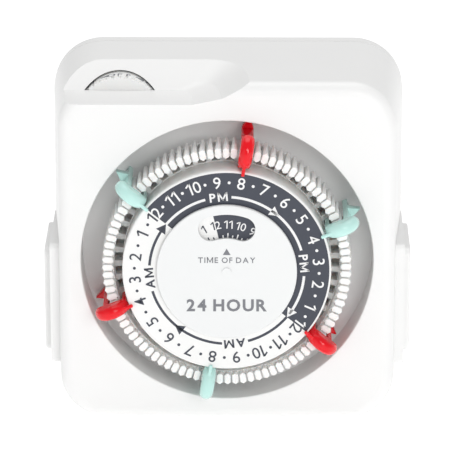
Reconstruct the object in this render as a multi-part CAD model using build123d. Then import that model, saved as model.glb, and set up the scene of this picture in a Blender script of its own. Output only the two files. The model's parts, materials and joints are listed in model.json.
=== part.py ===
"""Plug-in programmable timer with a 24-hour dial, six trippers and two side outlets.

Millimetres. +Z is up, the front looks along -Y, and the back that meets the wall is the plane y = 0.
The origin is on the dial's axis, in the wall plane. Angles round the dial run clockwise from the top.
"""
from math import acos, cos, degrees, hypot, pi, radians, sin, sqrt, tan
import os

from build123d import *

# ---- housing ----
DEPTH = 38.0                 # wall plane to the front face
FRONT_HALF_WIDTH = 39.6
SIDE_TAPER = 2.6             # each side widens by this towards the seam
BOTTOM_Z = -40.3             # flat from front to back, so the timer stands on it
FRONT_TOP_Z = 43.5
TOP_TAPER = 1.2
FRONT_CORNER = 11.0
REAR_CORNER = 12.0
FRONT_EDGE = 3.0             # soft edge round the front face
REAR_EDGE = 1.0
WALL = 2.2
REAR_COVER_DEPTH = 4.6
SEAM_LIP = 0.25              # set-back of the joint line between the two covers
SEAM_LIP_DEPTH = 0.4
FIT_GAP = 0.15               # fixed plastic pieces round one another

# ---- dial well ----
WELL_GAP = 5.2               # crown to the well's wall
WELL_DEPTH = 10.5
WELL_WALL = 1.6
WELL_FLOOR = 1.5
RIM_EDGE = 0.35

# ---- thumb notch over the override drum ----
NOTCH_DROP = 5.0             # below the front top edge
NOTCH_FLOOR_DEPTH = 12.3     # front face to the foot of the slope
NOTCH_TOP_DEPTH = 18.9       # front face to the head of the slope
NOTCH_FLOOR_RIGHT = -8.0     # the level floor ends here, and the ramp starts
NOTCH_KNEE_RIGHT = -1.0      # the ramp turns steeper here
NOTCH_KNEE_SHARE = 0.25      # of its rise
NOTCH_TOP_RIGHT = 8.0        # the ramp meets the top here
NOTCH_SKIN = 1.4

# ---- dial ----
PLATE_RADIUS = 24.55
PLATE_THICKNESS = 1.2
PLATE_PROUD = 7.0            # plate front ahead of the housing's front face
RING_PROUD = 4.5             # fins' front ahead of the housing's front face
PLATEAU_WALL = 1.5
FIN_COUNT = 96
FIN_SET_OUT = 2.2            # plate's edge to the fins
FIN_DEPTH = 2.65             # a fin's size outwards
FIN_WIDTH = 1.45
FIN_FOOT_WIDTH = 0.75
FIN_LENGTH = 9.2
FIN_FREE = 2.4               # fins stand free in front of their wall
RING_WALL = 0.9
RING_PLATE = 3.0
TROUGH_DEPTH = 5.8           # fins' front to the floor between plate and fins
WINDOW_SET_OUT = 0.15        # plate's edge to the windows
WINDOW_SET_IN = 0.15         # fins to the windows
WINDOW_WIDTH = 2.0
SLOT_OPENING = 1.0           # gap behind every second pair of fins
SLOT_START = 8.6             # the fins stay joined in front of it
SLOT_END = 11.4
RING_BACK_GAP = 2.0          # back of the ring to the well floor
RING_WEB = 1.2
HUB_RADIUS = 5.0
HUB_FLANGE_RADIUS = 10.0
HUB_FLANGE = 1.0
SPINDLE_RADIUS = 2.5
RUNNING_GAP = 0.05           # a shaft in its bearing
HUB_HOLE_GAP = 0.3
CAP_SET_IN = 8.05            # plate's edge to the cap's edge
CAP_THICKNESS = 0.8
CAP_GAP = 0.3                # still cap to turning plate
WINDOW_ARC_INNER = 8.3
WINDOW_ARC_OUTER = 14.2
WINDOW_HALF_WIDTH = 6.7
CAP_BUTTON_RADIUS = 1.1

# ---- trippers, one pair of colours ----
OFF_ANGLES = (9, 129, 249)
ON_ANGLES = (69, 189, 309)
CLIP_WIDTH = 3.2
CLIP_SET_OUT = 0.3           # plate's edge to a clip
CLIP_SPAN = 8.3
CLIP_GAP = 0.3               # clip to the fins, the ring and the plate
NUB_WIDTH = 0.8
NUB_REACH = 0.9              # the nub's tip inside the plate's edge
NUB_THICKNESS = 1.0
LEG_WIDTH = 3.0
LEG_THICKNESS = 1.3
INNER_LEG_WIDTH = 2.8
INNER_LEG_THICKNESS = 1.2
PEG_WIDTH = 1.4
PEG_THICKNESS = 0.9
NOSE_GAP = 0.8               # nose to the well's wall
NOSE_THICKNESS = 2.2
ON_NOSE_DEPTH = 3.0          # front face to the ON nose
OFF_NOSE_DEPTH = 7.8         # front face to the OFF nose
LEG_END_DEPTH = 10.0

# ---- override drum, star wheel and switch ----
DRUM_RADIUS = 10.8
DRUM_LENGTH = 8.7
DRUM_WALL = 1.2
DRUM_SCALLOPS = 40
DRUM_SCALLOP_RADIUS = 0.4
DRUM_SCALLOP_LENGTH = 1.4
DRUM_STANDS = 3.2            # drum above the notch floor
DRUM_BACK_GAP = 0.3          # drum front behind the well floor
STAR_REACH = 0.53            # points inside the well's wall
STAR_RADIUS = 6.0
STAR_ROOT = 2.7
STAR_POINTS = 4
STAR_THICKNESS = 2.6
SHAFT_RADIUS = 1.5
CAM_LOBE = 5.5
CAM_VALLEY = 4.3
CAM_THICKNESS = 3.5
SPRING_GAP = 0.45            # detent spring to the star's points
SPRING_FOOT = 1.0
LEVER_THICKNESS = 1.6
LEVER_GAP = 0.4              # lever to the cam's lobe circle
LEVER_DROP = 12.0
LEVER_PIN_RADIUS = 0.8
LEVER_BOSS = 1.9

# ---- gears ----
DIAL_TEETH = 72
PINION_TEETH = 12
WHEEL_TEETH = 48
COARSE_MODULE = 0.6
FINE_MODULE = 0.5
PRESSURE_ANGLE = 25.0
ADDENDUM = 0.8
DEDENDUM = 1.1
BACKLASH = 0.14
GEAR_FACE = 2.0
WHEEL_FACE = 1.4
AXLE_RADIUS = 1.0
INTERMEDIATE_ANGLE = 165.0   # clockwise from the top, seen from the dial's axis
MOTOR_ANGLE = 279.0          # clockwise from the top, seen from the intermediate axle

# ---- mechanism plate and motor ----
PLATE_HALF_WIDTH = 26.0
PLATE_TOP_Z = 17.0
PLATE_BOTTOM_Z = -31.0
MECHANISM_PLATE = 1.6
PLATE_POST_X = 22.5
PLATE_POST_Z = 13.5
POST_RADIUS = 2.4
SCREW_RADIUS = 1.1
HEAD_RADIUS = 2.0
HEAD_HEIGHT = 1.0
MOTOR_RADIUS = 14.0
MOTOR_LENGTH = 8.4
MOTOR_CAP = 0.6
EAR_DISTANCE = 16.2
EAR_TURN = 20.0
LEAD_RADIUS = 0.6

# ---- mains side: North American grounded plug and outlets ----
BLADE_SPACING = 12.7
BLADE_THICKNESS = 1.5
BLADE_WIDTH = 6.35
BLADE_LENGTH = 16.7
BLADE_Z = 18.0
GROUND_DROP = 11.9
GROUND_RADIUS = 2.4
GROUND_LENGTH = 20.6
GROUND_SHOULDER = 3.2        # radius where the pin is held in the rear cover
PAD_STEP = 0.1               # pad face beyond the widest part of the housing
PAD_TOP_Z = 2.2
PAD_BOTTOM_Z = -27.8
PAD_FRONT_DEPTH = 5.5
PAD_BACK_DEPTH = 33.0
OUTLET_STEP = 1.5            # outlet face beyond its pad
OUTLET_TOP_Z = 0.0
OUTLET_BOTTOM_Z = -26.0
OUTLET_FRONT_DEPTH = 9.0
OUTLET_BACK_DEPTH = 31.0
OUTLET_CORNER = 2.0
OUTLET_BODY = 7.0
SLOT_Z = -8.4
SLOT_WIDTH = 2.1
HOT_SLOT_HEIGHT = 7.0
NEUTRAL_SLOT_HEIGHT = 8.6
GROUND_HOLE = 2.6
LEAF = 0.6
CLIP_LENGTH = 8.0
CLIP_HEIGHT = 6.0
CLIP_SPACE = 0.1
TAIL_HEIGHT = 3.0
BAR = 0.8
BAR_GAP = 0.7                # air between busbars that cross
BAR_WIDTH = 4.0

# ---- screws that hold the covers ----
CASE_POST_RADIUS = 3.0
POST_FROM_SIDE = 6.6
POST_FROM_TOP = 7.5
POST_FROM_BOTTOM = 6.3
MIDDLE_POST_FROM_TOP = 9.0
MIDDLE_POST_FROM_DRUM = 16.6

# ---- places worked out from the sizes above ----
FRONT_Y = -DEPTH
SEAM_Y = -REAR_COVER_DEPTH
REAR_INNER_Y = -WALL
REAR_HALF_WIDTH = FRONT_HALF_WIDTH + SIDE_TAPER
REAR_TOP_Z = FRONT_TOP_Z + TOP_TAPER
PAD_FACE = REAR_HALF_WIDTH + PAD_STEP
OUTLET_FACE = PAD_FACE + OUTLET_STEP
WINDOW_INNER = PLATE_RADIUS + WINDOW_SET_OUT
FIN_INNER = PLATE_RADIUS + FIN_SET_OUT
WINDOW_OUTER = FIN_INNER - WINDOW_SET_IN
FIN_OUTER = FIN_INNER + FIN_DEPTH
CLIP_INNER = PLATE_RADIUS + CLIP_SET_OUT
CLIP_OUTER = CLIP_INNER + CLIP_SPAN
CAP_RADIUS = PLATE_RADIUS - CAP_SET_IN
WELL_RADIUS = FIN_OUTER + WELL_GAP
NOSE_RADIUS = WELL_RADIUS - NOSE_GAP
FLOOR_FRONT_Y = FRONT_Y + WELL_DEPTH
FLOOR_BACK_Y = FLOOR_FRONT_Y + WELL_FLOOR
NOTCH_FLOOR_Z = FRONT_TOP_Z - NOTCH_DROP
NOTCH_FLOOR_Y = FRONT_Y + NOTCH_FLOOR_DEPTH
PLATE_Y = FRONT_Y - PLATE_PROUD
PLATE_BACK_Y = PLATE_Y + PLATE_THICKNESS
RING_Y = FRONT_Y - RING_PROUD
TROUGH_Y = RING_Y + TROUGH_DEPTH
RING_BACK_Y = FLOOR_FRONT_Y - RING_BACK_GAP
HUB_BACK_Y = FLOOR_BACK_Y + 0.8 + GEAR_FACE + 1.4
GEAR_FRONT_Y = FLOOR_BACK_Y + 0.8
GEAR_BACK_Y = GEAR_FRONT_Y + GEAR_FACE
WHEEL_FRONT_Y = GEAR_BACK_Y + 1.0
WHEEL_BACK_Y = WHEEL_FRONT_Y + WHEEL_FACE
MECH_FRONT_Y = WHEEL_BACK_Y + 0.8
MECH_BACK_Y = MECH_FRONT_Y + MECHANISM_PLATE
MOTOR_BACK_Y = MECH_BACK_Y + MOTOR_LENGTH
DRUM_Y = FLOOR_BACK_Y + DRUM_BACK_GAP
DRUM_BACK_Y = DRUM_Y + DRUM_LENGTH
CAM_Y = DRUM_BACK_Y + 0.5
CAM_BACK_Y = CAM_Y + CAM_THICKNESS
DRUM_Z = NOTCH_FLOOR_Z + DRUM_STANDS - DRUM_RADIUS
STAR_DISTANCE = WELL_RADIUS + STAR_RADIUS - STAR_REACH
STAR_ANGLE = -degrees(acos(DRUM_Z / STAR_DISTANCE))
DRUM_X = -sqrt(STAR_DISTANCE ** 2 - DRUM_Z ** 2)
POST_X = FRONT_HALF_WIDTH - POST_FROM_SIDE
POST_LOW_Z = BOTTOM_Z + POST_FROM_BOTTOM
CASE_POSTS = (
    (POST_X, FRONT_TOP_Z - POST_FROM_TOP),
    (POST_X, POST_LOW_Z),
    (-POST_X, POST_LOW_Z),
    (DRUM_X + MIDDLE_POST_FROM_DRUM, FRONT_TOP_Z - MIDDLE_POST_FROM_TOP),
)
OUTLET_Y = FRONT_Y + (OUTLET_FRONT_DEPTH + OUTLET_BACK_DEPTH) / 2
BLADE_X = BLADE_SPACING / 2
GROUND_Z = BLADE_Z - GROUND_DROP
HOLE_Z = SLOT_Z - GROUND_DROP
INTERMEDIATE_DISTANCE = COARSE_MODULE * (DIAL_TEETH + PINION_TEETH) / 2
INTERMEDIATE_X = INTERMEDIATE_DISTANCE * sin(radians(INTERMEDIATE_ANGLE))
INTERMEDIATE_Z = INTERMEDIATE_DISTANCE * cos(radians(INTERMEDIATE_ANGLE))
MOTOR_DISTANCE = FINE_MODULE * (WHEEL_TEETH + PINION_TEETH) / 2
MOTOR_X = INTERMEDIATE_X + MOTOR_DISTANCE * sin(radians(MOTOR_ANGLE))
MOTOR_Z = INTERMEDIATE_Z + MOTOR_DISTANCE * cos(radians(MOTOR_ANGLE))
GROUND_BAR_Y = REAR_INNER_Y - 1.2
NEUTRAL_BAR_Y = GROUND_BAR_Y - BAR - BAR_GAP
LINE_BAR_Y = NEUTRAL_BAR_Y - BAR - BAR_GAP
LOAD_BAR_Y = LINE_BAR_Y - BAR - BAR_GAP
LEVER_X = DRUM_X + CAM_LOBE + LEVER_GAP + LEVER_THICKNESS / 2
LEVER_Z = DRUM_Z + 6.2


# ---- helpers ----
def front_view(y):
    """Sketch plane at depth y, seen from the front: x to the right and z up."""
    return Plane(origin=(0, y, 0), x_dir=(1, 0, 0), z_dir=(0, -1, 0))


def slab(outline, y_front, y_back):
    """Solid with a front-view outline between two depths."""
    return extrude(front_view(y_back) * outline, amount=y_back - y_front)


def disc(radius, y_front, y_back, x=0.0, z=0.0):
    """Cylinder along Y."""
    return slab(Pos(x, z) * Circle(radius), y_front, y_back)


def tube(outer, inner, y_front, y_back, x=0.0, z=0.0):
    """Hollow cylinder along Y."""
    return slab(Pos(x, z) * (Circle(outer) - Circle(inner)), y_front, y_back)


def block(x_low, x_high, y_low, y_high, z_low, z_high):
    """Box between two corners."""
    centre = Pos((x_low + x_high) / 2, (y_low + y_high) / 2, (z_low + z_high) / 2)
    return centre * Box(x_high - x_low, y_high - y_low, z_high - z_low)


def around(shape, angle):
    """Turn a shape made at the top of the dial clockwise to its angle."""
    return shape.rotate(Axis.Y, angle)


def mirror_x(shape, side):
    """The shape as made for the right-hand side, or its mirror image for the left."""
    return shape if side > 0 else mirror(shape, about=Plane.YZ)


def strip(points, width, y_front, y_back):
    """Flat bar through front-view points, its ends and bends round."""
    pieces = [Pos(x, z) * Circle(width / 2) for x, z in points]
    for (x0, z0), (x1, z1) in zip(points, points[1:]):
        turn = degrees(pi / 2 - acos((z1 - z0) / hypot(x1 - x0, z1 - z0)))
        if x1 < x0:
            turn = 180 - turn
        middle = Pos((x0 + x1) / 2, (z0 + z1) / 2) * Rot(0, 0, turn)
        pieces.append(middle * Rectangle(hypot(x1 - x0, z1 - z0), width))
    return slab(Sketch() + pieces, y_front, y_back)


def save(name, shape):
    """Write one node."""
    shape.label = name
    export_step(shape, f"parts/{name}.step")


# ---- gears ----
def gear_outline(module, teeth, tooth_angle):
    """Involute gear with flat facets on its flanks; a tooth points at the clockwise angle given."""
    pitch = module * teeth / 2
    base = pitch * cos(radians(PRESSURE_ANGLE))
    tip = pitch + ADDENDUM * module
    root = pitch - DEDENDUM * module

    def involute(radius):
        ratio = acos(min(1.0, base / radius))
        return tan(ratio) - ratio

    half = pi / (2 * teeth) - BACKLASH / (4 * pitch) + involute(pitch)
    start = max(base, root)
    radii = [start + (tip - start) * step / 3 for step in range(4)]
    flank = [(root, half - involute(start))] if root < base else []
    flank += [(radius, half - involute(radius)) for radius in radii]
    points = []
    for tooth in range(teeth):
        middle = radians(90 - tooth_angle) + 2 * pi * tooth / teeth
        for radius, spread in flank:
            points.append((radius * cos(middle - spread), radius * sin(middle - spread)))
        for radius, spread in reversed(flank):
            points.append((radius * cos(middle + spread), radius * sin(middle + spread)))
    return Polygon(*points, align=None)


# ---- covers ----
def housing_outline(share, inset=0.0):
    """Outline of the housing at a share of the way from the front face to the seam."""
    half = FRONT_HALF_WIDTH + share * (REAR_HALF_WIDTH - FRONT_HALF_WIDTH) - inset
    top = FRONT_TOP_Z + share * (REAR_TOP_Z - FRONT_TOP_Z) - inset
    bottom = BOTTOM_Z + inset
    corner = FRONT_CORNER + share * (REAR_CORNER - FRONT_CORNER) - inset
    return Pos(0, (top + bottom) / 2) * RectangleRounded(2 * half, top - bottom, corner)


def share_at(y):
    """Share of the way from the front face to the seam."""
    return (y - FRONT_Y) / (SEAM_Y - FRONT_Y)


def tapered(y_front, y_back, inset=0.0):
    """The housing's tapering block between two depths."""
    faces = [(front_view(y) * housing_outline(share_at(y), inset)).faces()[0] for y in (y_front, y_back)]
    return loft(faces, ruled=True)


def notch_cutter(grow=0.0):
    """Thumb notch: a level floor, a slope behind it, and a ramp that curls up to the front on the right."""
    rise = REAR_TOP_Z - NOTCH_FLOOR_Z
    run = (NOTCH_TOP_DEPTH - NOTCH_FLOOR_DEPTH) * rise / (FRONT_TOP_Z + 0.6 - NOTCH_FLOOR_Z)
    left = -REAR_HALF_WIDTH - 8
    front = FRONT_Y - 8
    wires = []
    for share, right, bend in (
        (0, NOTCH_FLOOR_RIGHT, 4.0),
        (NOTCH_KNEE_SHARE, NOTCH_KNEE_RIGHT, 7.0),
        (1, NOTCH_TOP_RIGHT, 13.0),
    ):
        level = NOTCH_FLOOR_Z + rise * share - grow * (1 - share) + grow * share / 4
        y = NOTCH_FLOOR_Y + run * share + grow
        right += grow
        curve_start = (right - bend, y)
        curve_end = (right, FRONT_Y)
        curve = Spline(curve_start, curve_end, tangents=((1, 0), (0.25, -1)))
        tip = (right + 2, front)
        outline = Wire([
            Line((left, y), curve_start),
            curve,
            Line(curve_end, tip),
            Line(tip, (left, front)),
            Line((left, front), (left, y)),
        ])
        wires.append(Pos(0, 0, level) * Face(outline))
    ramp = loft([wire.faces()[0] for wire in wires], ruled=True)
    return ramp + extrude(wires[-1].faces()[0], amount=6, dir=(0, 0, 1))


def outlet_pad(side, grow=0.0):
    """Rectangular step round an outlet."""
    pad = block(FRONT_HALF_WIDTH - 6, PAD_FACE + grow, FRONT_Y + PAD_FRONT_DEPTH, FRONT_Y + PAD_BACK_DEPTH,
                PAD_BOTTOM_Z, PAD_TOP_Z)
    pad = fillet(pad.edges().filter_by(Axis.X), 1.2)
    return mirror_x(pad, side)


def case_post(x, z):
    """Post that takes a case screw."""
    return disc(CASE_POST_RADIUS, FRONT_Y + WALL / 2, SEAM_Y, x, z)


def make_front_cover():
    envelope = tapered(FRONT_Y, SEAM_Y)
    front_edges = envelope.faces().sort_by(Axis.Y)[0].edges()
    envelope = fillet(front_edges, FRONT_EDGE)
    cavity = tapered(FRONT_Y + WALL, SEAM_Y + 1, WALL) - notch_cutter(NOTCH_SKIN)
    cover = envelope - notch_cutter()
    for side in (1, -1):
        cover += outlet_pad(side)
    cover -= cavity
    cover += disc(WELL_RADIUS + WELL_WALL, FRONT_Y + WALL / 2, FLOOR_BACK_Y)
    posts = [case_post(x, z) for x, z in CASE_POSTS]
    posts[-1] = posts[-1] & disc(2 * REAR_HALF_WIDTH, FLOOR_BACK_Y, SEAM_Y)
    cover += posts
    for x in (-PLATE_POST_X, PLATE_POST_X):
        for z in (-PLATE_POST_Z, PLATE_POST_Z):
            cover += disc(POST_RADIUS, FLOOR_BACK_Y - WELL_FLOOR / 2, MECH_FRONT_Y, x, z)
            cover -= disc(SCREW_RADIUS, FLOOR_BACK_Y + 1, MECH_FRONT_Y + 1, x, z)
    spring_x = DRUM_X - STAR_RADIUS - SPRING_GAP - SPRING_FOOT
    cover += block(spring_x - 3, spring_x, FRONT_Y + WALL / 2, FRONT_Y + 8, DRUM_Z - 6, DRUM_Z - 4)
    cover &= tapered(FRONT_Y, SEAM_Y).fuse(outlet_pad(1), outlet_pad(-1))
    cover -= disc(WELL_RADIUS, FRONT_Y - 1, FLOOR_FRONT_Y)
    rim = cover.edges().filter_by(GeomType.CIRCLE).filter_by_position(Axis.Y, FRONT_Y - 0.01, FRONT_Y + 0.01)
    rim = [edge for edge in rim if abs(edge.radius - WELL_RADIUS) < 0.01]
    cover = fillet(rim, RIM_EDGE)
    cover -= disc(HUB_RADIUS + HUB_HOLE_GAP, FLOOR_FRONT_Y - 1, FLOOR_BACK_Y + 1)
    cover -= disc(AXLE_RADIUS, FLOOR_BACK_Y - WELL_FLOOR / 2, FLOOR_BACK_Y + 1, INTERMEDIATE_X, INTERMEDIATE_Z)
    star_slot = block(-STAR_RADIUS - 0.7, STAR_RADIUS + 0.7, FRONT_Y + WALL, FLOOR_FRONT_Y,
                      WELL_RADIUS - 3, WELL_RADIUS + WELL_WALL + 1)
    cover -= around(star_slot, STAR_ANGLE)
    cover -= disc(SHAFT_RADIUS + RUNNING_GAP, FRONT_Y + WALL / 2, FRONT_Y + WALL + 1, DRUM_X, DRUM_Z)
    cover -= disc(DRUM_RADIUS + 0.5, NOTCH_FLOOR_Y - 0.02, DRUM_BACK_Y + 0.3, DRUM_X, DRUM_Z)
    for x, z in CASE_POSTS:
        cover -= disc(SCREW_RADIUS, SEAM_Y - 10, SEAM_Y + 1, x, z)
    for side in (1, -1):
        cover -= mirror_x(outlet_block(FIT_GAP), side)
    return cover


def make_rear_cover():
    outline = housing_outline(1.0)
    cover = slab(outline, SEAM_Y + SEAM_LIP_DEPTH, 0)
    cover = fillet(cover.faces().sort_by(Axis.Y)[-1].edges(), REAR_EDGE)
    cover += slab(housing_outline(1.0, SEAM_LIP), SEAM_Y, SEAM_Y + SEAM_LIP_DEPTH)
    cover -= slab(housing_outline(1.0, WALL), SEAM_Y - 1, REAR_INNER_Y)
    shaft_boss_y = CAM_BACK_Y + 3
    cover += disc(SHAFT_RADIUS + 1.8, shaft_boss_y, REAR_INNER_Y, DRUM_X, DRUM_Z)
    cover += disc(LEVER_PIN_RADIUS + 1.2, CAM_BACK_Y + 1, REAR_INNER_Y, LEVER_X, LEVER_Z)
    cover -= disc(SHAFT_RADIUS + RUNNING_GAP, shaft_boss_y - 1, REAR_INNER_Y - 0.6, DRUM_X, DRUM_Z)
    cover -= disc(LEVER_PIN_RADIUS, CAM_BACK_Y, REAR_INNER_Y, LEVER_X, LEVER_Z)
    for x in (-BLADE_X, BLADE_X):
        cover -= block(x - BLADE_THICKNESS / 2, x + BLADE_THICKNESS / 2, REAR_INNER_Y - 1, 1,
                       BLADE_Z - BLADE_WIDTH / 2, BLADE_Z + BLADE_WIDTH / 2)
    cover -= disc(GROUND_SHOULDER, REAR_INNER_Y - 1, 1, 0, GROUND_Z)
    for x, z in CASE_POSTS:
        cover += disc(CASE_POST_RADIUS, SEAM_Y, REAR_INNER_Y, x, z)
        cover -= disc(SCREW_RADIUS + FIT_GAP, SEAM_Y - 1, 1, x, z)
        cover -= disc(HEAD_RADIUS + FIT_GAP, -HEAD_HEIGHT - 0.3, 1, x, z)
    return cover


def make_case_screws():
    screws = []
    for x, z in CASE_POSTS:
        head = disc(HEAD_RADIUS, -HEAD_HEIGHT - 0.3, -0.3, x, z)
        head -= block(x - HEAD_RADIUS * 0.7, x + HEAD_RADIUS * 0.7, -0.7, 0, z - 0.3, z + 0.3)
        head -= block(x - 0.3, x + 0.3, -0.7, 0, z - HEAD_RADIUS * 0.7, z + HEAD_RADIUS * 0.7)
        screws.append(head + disc(SCREW_RADIUS, SEAM_Y - 9, -HEAD_HEIGHT - 0.3, x, z))
    return Compound(children=screws)


# ---- outlets ----
def outlet_block(grow=0.0):
    """Right-hand outlet body, without its slots."""
    body = block(OUTLET_FACE - OUTLET_BODY, OUTLET_FACE + (1 if grow else 0),
                 FRONT_Y + OUTLET_FRONT_DEPTH - grow, FRONT_Y + OUTLET_BACK_DEPTH + grow,
                 OUTLET_BOTTOM_Z - grow, OUTLET_TOP_Z + grow)
    return fillet(body.edges().filter_by(Axis.X), OUTLET_CORNER + grow)


def blade_places(side):
    """Depth of the line and the neutral slot, neutral on the left as one looks at the outlet."""
    return OUTLET_Y + side * BLADE_X, OUTLET_Y - side * BLADE_X


def make_outlet_face(side):
    body = outlet_block()
    face_edges = body.faces().sort_by(Axis.X)[-1].edges()
    body = fillet(face_edges, 0.5)
    line_y, neutral_y = blade_places(side)
    low = OUTLET_FACE - OUTLET_BODY - 2
    for y, height in ((line_y, HOT_SLOT_HEIGHT), (neutral_y, NEUTRAL_SLOT_HEIGHT)):
        body -= block(low, OUTLET_FACE + 1, y - SLOT_WIDTH / 2, y + SLOT_WIDTH / 2,
                      SLOT_Z - height / 2, SLOT_Z + height / 2)
    hole = Pos(OUTLET_FACE - OUTLET_BODY / 2, OUTLET_Y, HOLE_Z) * Rot(0, 90, 0)
    body -= hole * Cylinder(GROUND_HOLE, OUTLET_BODY + 2)
    return mirror_x(body, side)


def blade_clip(side, y, bar_y, tail_shift):
    """Sprung double leaf that grips a plug blade, with a tail back to its busbar."""
    open_end = OUTLET_FACE - OUTLET_BODY - 0.4
    behind = y < OUTLET_Y
    closed_end = open_end - CLIP_LENGTH - (2.4 if behind else 0)
    half = BLADE_THICKNESS / 2 + CLIP_SPACE
    low = SLOT_Z - CLIP_HEIGHT / 2
    high = SLOT_Z + CLIP_HEIGHT / 2
    clip = block(closed_end, open_end, y - half - LEAF, y - half, low, high)
    clip += block(closed_end, open_end, y + half, y + half + LEAF, low, high)
    clip += block(closed_end, closed_end + LEAF, y - half - LEAF, y + half + LEAF, low, high)
    tail_z = SLOT_Z + tail_shift
    clip += block(closed_end, closed_end + LEAF, y, bar_y, tail_z - TAIL_HEIGHT / 2, tail_z + TAIL_HEIGHT / 2)
    return mirror_x(clip, side)


def ground_clip(side):
    """Split sleeve that grips a plug's ground pin."""
    open_end = OUTLET_FACE - OUTLET_BODY - 0.4
    closed_end = open_end - CLIP_LENGTH
    inner = GROUND_RADIUS + CLIP_SPACE
    sleeve = Pos((open_end + closed_end) / 2, OUTLET_Y, HOLE_Z) * Rot(0, 90, 0)
    clip = sleeve * (Cylinder(inner + LEAF, CLIP_LENGTH) - Cylinder(inner, CLIP_LENGTH))
    clip -= block(closed_end - 1, open_end + 1, OUTLET_Y - 6, OUTLET_Y, HOLE_Z - 0.5, HOLE_Z + 0.5)
    clip += block(closed_end, closed_end + LEAF, OUTLET_Y + inner + LEAF / 2, GROUND_BAR_Y - BAR,
                  HOLE_Z - TAIL_HEIGHT / 2, HOLE_Z + TAIL_HEIGHT / 2)
    return mirror_x(clip, side)


# ---- plug and busbars ----
def make_blade(x, bar_y):
    blade = block(x - BLADE_THICKNESS / 2, x + BLADE_THICKNESS / 2, bar_y, BLADE_LENGTH,
                  BLADE_Z - BLADE_WIDTH / 2, BLADE_Z + BLADE_WIDTH / 2)
    tip = blade.faces().sort_by(Axis.Y)[-1].edges()
    return chamfer(tip, 0.45)


def make_ground_pin():
    pin = disc(GROUND_RADIUS, 0, GROUND_LENGTH, 0, GROUND_Z)
    pin = fillet(pin.faces().sort_by(Axis.Y)[-1].edges(), GROUND_RADIUS * 0.8)
    return pin + disc(GROUND_SHOULDER, GROUND_BAR_Y, 0, 0, GROUND_Z)


def tail_x(y):
    """Where a clip's tail comes down, on the right-hand side."""
    shift = 2.4 if y < OUTLET_Y else 0
    return OUTLET_FACE - OUTLET_BODY - 0.4 - CLIP_LENGTH - shift + LEAF / 2


def make_busbars():
    right_line, right_neutral = blade_places(1)
    left_line, left_neutral = blade_places(-1)
    ground_x = OUTLET_FACE - OUTLET_BODY - 0.4 - CLIP_LENGTH + LEAF / 2
    load_z = SLOT_Z + 2
    neutral_z = SLOT_Z - 2
    contact_x = LEVER_X + 2.4
    contact_z = LEVER_Z - LEVER_DROP - 2
    bars = {}
    load = strip([(-tail_x(left_line), load_z), (tail_x(right_line), load_z)], TAIL_HEIGHT, LOAD_BAR_Y - BAR, LOAD_BAR_Y)
    load += strip([(contact_x, contact_z), (contact_x, load_z)], TAIL_HEIGHT, LOAD_BAR_Y - BAR, LOAD_BAR_Y)
    bars["load_busbar"] = load
    bars["line_busbar"] = strip([(BLADE_X, BLADE_Z), (BLADE_X, contact_z), (contact_x + 3.2, contact_z)], TAIL_HEIGHT,
                                LINE_BAR_Y - BAR, LINE_BAR_Y)
    neutral = strip([(-tail_x(left_neutral), neutral_z), (tail_x(right_neutral), neutral_z)], TAIL_HEIGHT,
                    NEUTRAL_BAR_Y - BAR, NEUTRAL_BAR_Y)
    neutral += strip([(-BLADE_X, BLADE_Z), (-BLADE_X, neutral_z)], BAR_WIDTH, NEUTRAL_BAR_Y - BAR, NEUTRAL_BAR_Y)
    bars["neutral_busbar"] = neutral
    ground = strip([(-ground_x, HOLE_Z), (ground_x, HOLE_Z)], TAIL_HEIGHT, GROUND_BAR_Y - BAR, GROUND_BAR_Y)
    ground += strip([(0, GROUND_Z), (0, HOLE_Z)], BAR_WIDTH, GROUND_BAR_Y - BAR, GROUND_BAR_Y)
    bars["ground_busbar"] = ground
    return bars


# ---- dial ----
def fin():
    """One tooth of the crown: a long six-sided head that narrows to the back."""
    middle = (FIN_INNER + FIN_OUTER) / 2
    half_length = (FIN_OUTER - FIN_INNER) / 2
    sections = []
    for y, half_width in ((RING_Y, FIN_WIDTH / 2), (RING_Y + FIN_LENGTH, FIN_FOOT_WIDTH / 2)):
        shoulder = half_length - half_width * 0.6
        outline = Polygon((0, -half_length), (half_width, -shoulder), (half_width, shoulder), (0, half_length),
                          (-half_width, shoulder), (-half_width, -shoulder), align=None)
        sections.append((front_view(y) * Pos(0, middle) * outline).faces()[0])
    return loft(sections, ruled=True)


def make_dial_ring():
    """Fixed-pitch crown that carries the trippers, with its plateau and web."""
    wall_outer = FIN_INNER + RING_WALL
    ring = tube(PLATE_RADIUS - 0.1, PLATE_RADIUS - 0.1 - PLATEAU_WALL, PLATE_BACK_Y, RING_BACK_Y)
    ring += tube(wall_outer, PLATE_RADIUS - 1, TROUGH_Y, TROUGH_Y + RING_PLATE)
    ring += tube(wall_outer, FIN_INNER, RING_Y + FIN_FREE, RING_BACK_Y)
    ring += tube(wall_outer, HUB_RADIUS, RING_BACK_Y - RING_WEB, RING_BACK_Y)
    pitch = 360 / FIN_COUNT
    ring += [around(fin(), OFF_ANGLES[0] + pitch * (index + 0.5)) for index in range(FIN_COUNT)]
    window = block(-WINDOW_WIDTH / 2, WINDOW_WIDTH / 2, TROUGH_Y - 0.5, TROUGH_Y + RING_PLATE + 0.5,
                   WINDOW_INNER, WINDOW_OUTER)
    slot = block(-SLOT_OPENING / 2, SLOT_OPENING / 2, RING_Y + SLOT_START, RING_Y + SLOT_END,
                 FIN_INNER - 0.1, wall_outer + 0.1)
    slot_end = Pos(0, RING_Y + SLOT_START, (FIN_INNER + wall_outer) / 2)
    slot += slot_end * Cylinder(SLOT_OPENING / 2, RING_WALL + 0.2)
    cutter = window + slot
    ring -= [around(cutter, OFF_ANGLES[0] + 2 * pitch * index) for index in range(FIN_COUNT // 2)]
    return ring


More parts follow.
